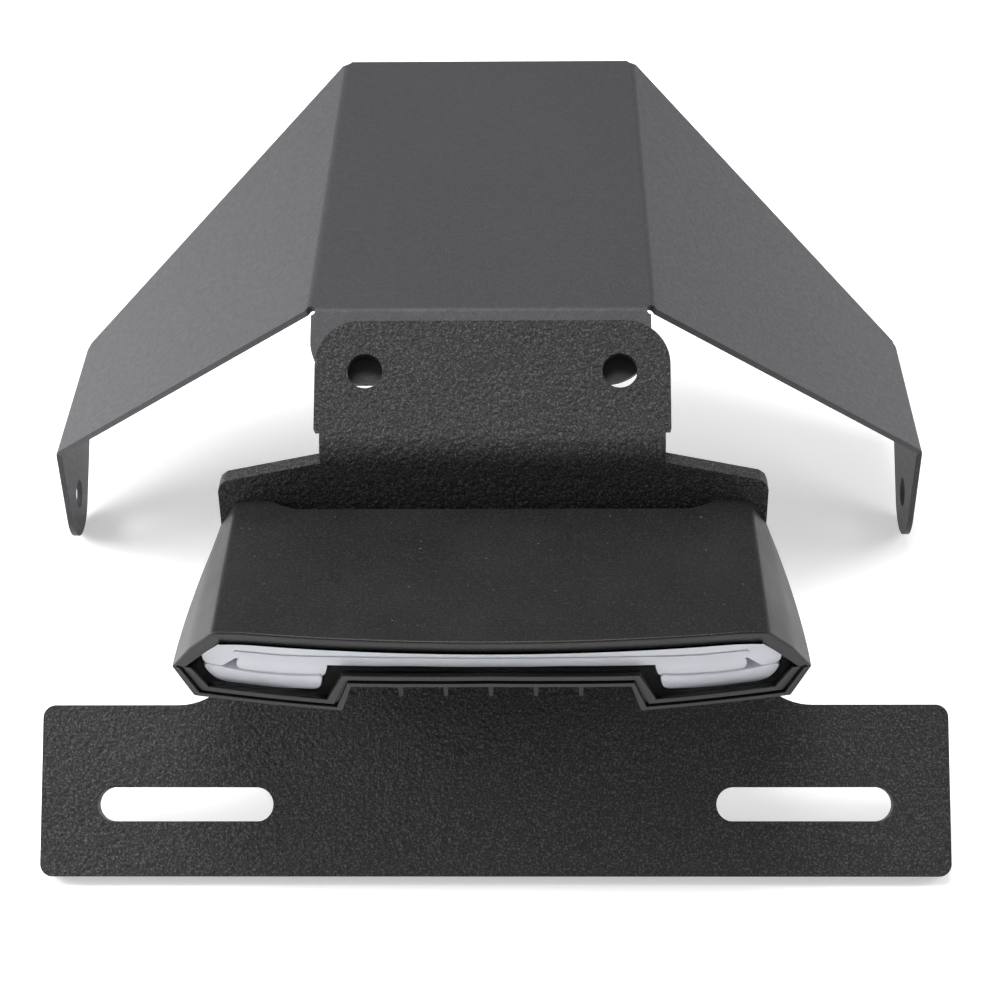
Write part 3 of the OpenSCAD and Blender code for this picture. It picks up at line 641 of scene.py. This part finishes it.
def row_tree():
    """Copies of the incoming mesh along X, set back along a bow, as one real mesh."""
    tree = bpy.data.node_groups.new("row", "GeometryNodeTree")
    tree.is_modifier = True
    sockets = {}
    for name, kind in (
        ("Geometry", "Geometry"), ("Count", "Int"), ("Pitch", "Float"), ("Bow", "Float"),
        ("Bow Direction", "Vector"), ("Material", "Material"),
    ):
        made = tree.interface.new_socket(name=name, in_out="INPUT", socket_type="NodeSocket" + kind)
        sockets[name] = made.identifier
    tree.interface.new_socket(name="Geometry", in_out="OUTPUT", socket_type="NodeSocketGeometry")
    link = tree.links.new

    def node(kind, operation=None, **values):
        """A node of that kind, where i1=2.0 sets its second input to 2."""
        made = tree.nodes.new(kind)
        if operation:
            made.operation = operation
        for place, value in values.items():
            made.inputs[int(place[1:])].default_value = value
        return made

    given = node("NodeGroupInput").outputs
    # The first copy stands half a row to the left
    last = node("ShaderNodeMath", "SUBTRACT", i1=1.0)
    link(given["Count"], last.inputs[0])
    width = node("ShaderNodeMath", "MULTIPLY")
    link(last.outputs[0], width.inputs[0])
    link(given["Pitch"], width.inputs[1])
    left = node("ShaderNodeMath", "MULTIPLY", i1=-0.5)
    link(width.outputs[0], left.inputs[0])
    start = node("ShaderNodeCombineXYZ")
    link(left.outputs[0], start.inputs[0])
    step = node("ShaderNodeCombineXYZ")
    link(given["Pitch"], step.inputs[0])
    line = node("GeometryNodeMeshLine")
    link(given["Count"], line.inputs["Count"])
    link(start.outputs[0], line.inputs["Start Location"])
    link(step.outputs[0], line.inputs["Offset"])
    # Each copy is set back by its place squared times the bow
    across = node("ShaderNodeSeparateXYZ")
    link(node("GeometryNodeInputPosition").outputs[0], across.inputs[0])
    squared = node("ShaderNodeMath", "MULTIPLY")
    link(across.outputs[0], squared.inputs[0])
    link(across.outputs[0], squared.inputs[1])
    bowed = node("ShaderNodeMath", "MULTIPLY")
    link(squared.outputs[0], bowed.inputs[0])
    link(given["Bow"], bowed.inputs[1])
    back = node("ShaderNodeVectorMath", "SCALE")
    link(given["Bow Direction"], back.inputs[0])
    link(bowed.outputs[0], back.inputs["Scale"])
    spots = node("GeometryNodeSetPosition")
    link(line.outputs[0], spots.inputs["Geometry"])
    link(back.outputs[0], spots.inputs["Offset"])
    copies = node("GeometryNodeInstanceOnPoints")
    link(spots.outputs[0], copies.inputs["Points"])
    link(given["Geometry"], copies.inputs["Instance"])
    real = node("GeometryNodeRealizeInstances")
    link(copies.outputs[0], real.inputs[0])
    coat = node("GeometryNodeSetMaterial")
    link(real.outputs[0], coat.inputs["Geometry"])
    link(given["Material"], coat.inputs["Material"])
    link(coat.outputs[0], node("NodeGroupOutput").inputs[0])
    return tree, sockets


rows_tree, row_inputs = row_tree()


def row_of(name, shape, count, pitch, slot, bow=0.0):
    """A mesh repeated along X. The pitch is in mm, and the bow in 1/m."""
    piece = made_piece(name, shape)
    sharpened(piece, 35)
    row = piece.modifiers.new("row", "NODES")
    row.node_group = rows_tree
    lean = front_lean - middle_lean
    settings = {
        "Count": count, "Pitch": pitch * MM, "Bow": bow, "Material": finishes[slot],
        "Bow Direction": (0.0, math.cos(lean), math.sin(lean)),
    }
    for label, value in settings.items():
        row[row_inputs[label]] = value
    return piece


def recess_ribs():
    """Five tapered ribs that hang in the roof of the recess."""
    shape = bmesh.new()
    prism(shape, [
        (-0.65, recess_roof + 0.4), (-0.4, recess_roof - 3.0), (-0.2, recess_roof - 3.2),
        (0.2, recess_roof - 3.2), (0.4, recess_roof - 3.0), (0.65, recess_roof + 0.4),
    ], -47.1, -33.0)
    piece = row_of("recess_ribs", shape, 5, 9.8, "black_plastic")
    flattened(piece)
    return piece


def make_fasteners():
    """Bolts, inserts and screws, each pair or row from one turned form."""
    shape = bmesh.new()
    lathe(shape, (0, 5.8, bolt_z), (0, 1, 0), [
        (0, -18.8), (2.6, -18.8), (3, -18.3), (3, 0), (4.9, 0), (5.2, 0.15), (5.7, 0.5, 1), (5.7, 3.3, 1),
        (5.0, 3.9), (4.6, 4.2), (0, 4.2),
    ])
    baked(row_of("light_bolts_pair", shape, 2, 2 * bolt_x, "steel"), "light_bolts")
    shape = bmesh.new()
    lathe(shape, (0, -1.1, bolt_z), (0, -1, 0), [
        (4, 0), (4, 2, 2), (4, 5, 2), (3.7, 5.2), (3.7, 5.8), (4, 6, 2), (4, 9.4, 2), (3.8, 9.9),
        (3.06, 9.9), (3.06, 0),
    ], 48)
    baked(row_of("threaded_inserts_pair", shape, 2, 2 * bolt_x, "brass"), "threaded_inserts")
    shape = bmesh.new()
    for depth in screw_depths:
        lathe(shape, (0, -depth, -25.5), (0, 0, 1), [
            (0, 0.75), (1.1, 0.75, 1), (1.15, 0.05, 1), (1.6, 0), (2.4, 0.1), (2.7, 0.5), (2.7, 1.6),
            (1.15, 1.6), (1.15, 12.6), (0.6, 13.5), (0, 13.5),
        ])
    baked(row_of("housing_screws_set", shape, 2, 2 * screw_x, "steel"), "housing_screws")


def make_leds():
    """Eleven lamps along the bowed board, each a small square case with a domed window."""
    half, height = 1.5, -12.5
    case_front, case_back, window_v = 20.62, 22.0, 20.6
    corners = ((-half, -half), (half, -half), (half, half), (-half, half))
    shape = bmesh.new()
    near, far = (
        [placed(front_point(x, v, z + height)) for x, z in corners] for v in (case_front, case_back)
    )
    bmesh.ops.recalc_face_normals(shape, faces=slab(shape, near, far))
    forward = front_point(0, 0, height) - front_point(0, 1, height)
    window = [(0, -0.2), (1.1, -0.2), (1.1, 0.12), (0.8, 0.22), (0, 0.25)]
    lathe(shape, front_point(0, window_v, height) - forward * 0.1, forward, window, 24)
    bow = 1 / (2 * bow_r * MM)
    baked(row_of("board_leds_row", shape, 11, 7, "led", bow), "board_leds")


# Light guides behind the lens


def add_bar(shape, outline, v0, v1, cut_pitch=4):
    """A bar from an outline in x and z on the leaning front, between two depths, bowed as the front."""
    bar = bmesh.new()
    slab(bar, *([(x, v, z) for x, z in outline] for v in (v0, v1)))
    for k in range(-15, 16):
        bmesh.ops.bisect_plane(
            bar, geom=bar.verts[:] + bar.edges[:] + bar.faces[:],
            plane_co=(k * cut_pitch + 0.1, 0, 0), plane_no=(1, 0, 0),
        )
    bmesh.ops.recalc_face_normals(bar, faces=bar.faces)
    for vert in bar.verts:
        vert.co = placed(front_point(*vert.co))
    held = bpy.data.meshes.new("bar")
    bar.to_mesh(held)
    bar.free()
    shape.from_mesh(held)
    bpy.data.meshes.remove(held)


def rounded_guide(name, node, shape, radius):
    piece = made_piece(name, shape)
    rounded(piece, radius, 3, 30)
    baked(piece, node)


def smoothed(points):
    """An outline with each corner cut off, as moulding leaves it."""
    cut = []
    for a, b in zip(points, points[1:] + points[:1]):
        a, b = Vector(a), Vector(b)
        share = min(0.25, 0.5 / max((b - a).length, 0.01))
        cut += [tuple(a.lerp(b, share)), tuple(b.lerp(a, share))]
    return cut


def make_guides():
    """The stepped upper guide over the full width, and two bars below it at either side."""
    upper = [(0, -5.3), (25, -5.5), (50, -6.1), (56, -6.6), (58.5, -8.7), (62.2, -12.3), (63.4, -14.1)]
    hook = [(63.3, -16.5), (62.4, -17.9), (61, -18.3), (59, -17.9), (55.9, -14.6)]
    low_edge = [(46, -14.6), (35.6, -14.0), (17, -12.8), (0, -12.6)]
    shape = bmesh.new()
    add_bar(shape, mirrored_outline(upper + hook + low_edge), 3.0, 5.8)
    strip = [
        (0, -9.6), (16, -9.8), (31, -10.6), (45, -11.7), (50, -11.6), (55.6, -11.6), (56.1, -12.3),
        (55.2, -14.1),
    ]
    add_bar(shape, mirrored_outline(strip + low_edge), 2.75, 4.5)
    rounded_guide("upper_guide_band", "upper_light_guide", shape, 0.2)
    inner = [
        (35.7, -12.7), (35.7, -15.2), (36.4, -18.3), (37.2, -19.0), (44, -19.5), (51, -19.9), (53.8, -19.7),
        (55.4, -18.9), (56, -17.6), (55.7, -15.7), (53, -12.7),
    ]
    lower = [
        (37.0, -18.2), (37.2, -20.7), (37.8, -22.8), (38.9, -23.6), (45, -24.1), (55, -24.2), (59, -23.8),
        (61.2, -22.9), (62.5, -20.9), (63.3, -18.4), (62.6, -17.6), (59, -18.1), (56.5, -18.7), (54, -19.1),
        (50, -19.3), (42, -19.0),
    ]
    for side, word in ((-1, "left"), (1, "right")):
        shape = bmesh.new()
        add_bar(shape, smoothed([(side * x, z) for x, z in inner]), 3.3, 8.0)
        rounded_guide(word + "_inner_bar_piece", word + "_inner_light_bar", shape, 0.35)
        shape = bmesh.new()
        add_bar(shape, smoothed([(side * x, z) for x, z in lower]), 2.8, 8.0)
        rounded_guide(word + "_lower_bar_piece", word + "_lower_light_bar", shape, 0.4)


make_hood()
make_housing()
make_guides()
make_fasteners()
make_leds()

# The solids that nothing stands for keep their own mesh
for node_name, solid in frame["nodes"].items():
    if not solid.hide_render:
        solid.data.materials.clear()
        solid.data.materials.append(finishes[slot_of[node_name]])


# Camera, at the photograph's viewing angle


def put_camera():
    pitch, yaw, roll = (math.radians(a) for a in (39.52, -1.1, 0.82))
    place = (0.00941, -0.414911, 0.303951)
    look = Vector((math.sin(yaw) * math.cos(pitch), math.cos(yaw) * math.cos(pitch), -math.sin(pitch)))
    level = look.cross(Vector((0, 0, 1))).normalized()
    down = look.cross(level)
    right = level * math.cos(roll) + down * math.sin(roll)
    lower = down * math.cos(roll) - level * math.sin(roll)
    lens = bpy.data.cameras.new("camera")
    lens.sensor_width = 36
    lens.lens = 81.0
    lens.clip_start = 0.01
    camera = bpy.data.objects.new("camera", lens)
    turn = Matrix((right, -lower, -look)).transposed()
    camera.matrix_world = Matrix.Translation(place) @ turn.to_4x4()
    bpy.context.scene.collection.objects.link(camera)
    bpy.context.scene.camera = camera


put_camera()


# Floor, lamps and the pale room


def seen_rays(tree, path, others=("Is Glossy Ray", "Is Transmission Ray")):
    """1 where the camera looks, straight or in a reflection or through a clear piece."""
    total = path.outputs["Is Camera Ray"]
    for name in others:
        either = tree.nodes.new("ShaderNodeMath")
        either.operation = "MAXIMUM"
        tree.links.new(total, either.inputs[0])
        tree.links.new(path.outputs[name], either.inputs[1])
        total = either.outputs[0]
    return total


def put_floor(half=3.0, gap=0.0002, shade=0.82, glow_strength=0.44):
    """A matt floor just under the part, with a soft glow for the rays that look at it."""
    mesh = bpy.data.meshes.new("floor")
    corners = [(-half, -half), (half, -half), (half, half), (-half, half)]
    mesh.from_pydata([(x, y, floor_z - gap) for x, y in corners], [], [(0, 1, 2, 3)])
    floor = bpy.data.objects.new("floor", mesh)
    bpy.context.scene.collection.objects.link(floor)
    made = bpy.data.materials.new("floor")
    made.use_nodes = True
    tree = made.node_tree
    tree.nodes.clear()
    matt = add(tree, "ShaderNodeBsdfDiffuse", color=(*grey(shade), 1))
    glow = add(tree, "ShaderNodeEmission")
    path = tree.nodes.new("ShaderNodeLightPath")
    tree.links.new(span(tree, seen_rays(tree, path), 0, glow_strength), glow.inputs["Strength"])
    both = tree.nodes.new("ShaderNodeAddShader")
    tree.links.new(matt.outputs[0], both.inputs[0])
    tree.links.new(glow.outputs[0], both.inputs[1])
    out = tree.nodes.new("ShaderNodeOutputMaterial")
    tree.links.new(both.outputs[0], out.inputs["Surface"])
    mesh.materials.append(made)


def put_lamp(name, place, aim, size, watts):
    """A soft rectangular lamp at its place, turned to its aim."""
    light = bpy.data.lights.new(name, "AREA")
    light.shape = "RECTANGLE"
    light.size, light.size_y = size
    light.energy = watts
    lamp = bpy.data.objects.new(name, light)
    lamp.location = place
    lamp.rotation_euler = (Vector(aim) - Vector(place)).to_track_quat("-Z", "Y").to_euler()
    bpy.context.scene.collection.objects.link(lamp)


def put_room():
    """Soft light from all round, and white for the rays that look past the floor."""
    world = bpy.data.worlds.new("room")
    world.use_nodes = True
    bpy.context.scene.world = world
    tree = world.node_tree
    tree.nodes.clear()
    room = add(tree, "ShaderNodeBackground", color=(0.9, 0.9, 0.92, 1), strength=0.34)
    seen = add(tree, "ShaderNodeBackground", color=(1, 1, 1, 1), strength=1.0)
    path = tree.nodes.new("ShaderNodeLightPath")
    mixed = tree.nodes.new("ShaderNodeMixShader")
    tree.links.new(seen_rays(tree, path, ("Is Transmission Ray",)), mixed.inputs["Fac"])
    tree.links.new(room.outputs[0], mixed.inputs[1])
    tree.links.new(seen.outputs[0], mixed.inputs[2])
    out = tree.nodes.new("ShaderNodeOutputWorld")
    tree.links.new(mixed.outputs[0], out.inputs["Surface"])


put_floor()
put_room()
for softbox in (
    ("left_softbox", (-1.3, 0.25, 0.55), (0, 0.05, -0.03), (0.9, 0.7), 8),
    ("right_softbox", (1.3, 0.25, 0.55), (0, 0.05, -0.03), (0.9, 0.7), 9),
    ("top_softbox", (-0.1, 0.1, 1.2), (-0.02, 0.05, -0.05), (0.6, 0.6), 13),
    ("low_left_softbox", (-0.5, 0.02, 0.11), (-0.05, -0.03, -0.06), (0.25, 0.25), 1.8),
    ("front_softbox", (-0.55, -0.25, 0.4), (-0.08, -0.03, -0.09), (0.3, 0.3), 0.9),
):
    put_lamp(*softbox)

bpy.context.scene.view_settings.view_transform = "Standard"

bpy.context.view_layer.update()
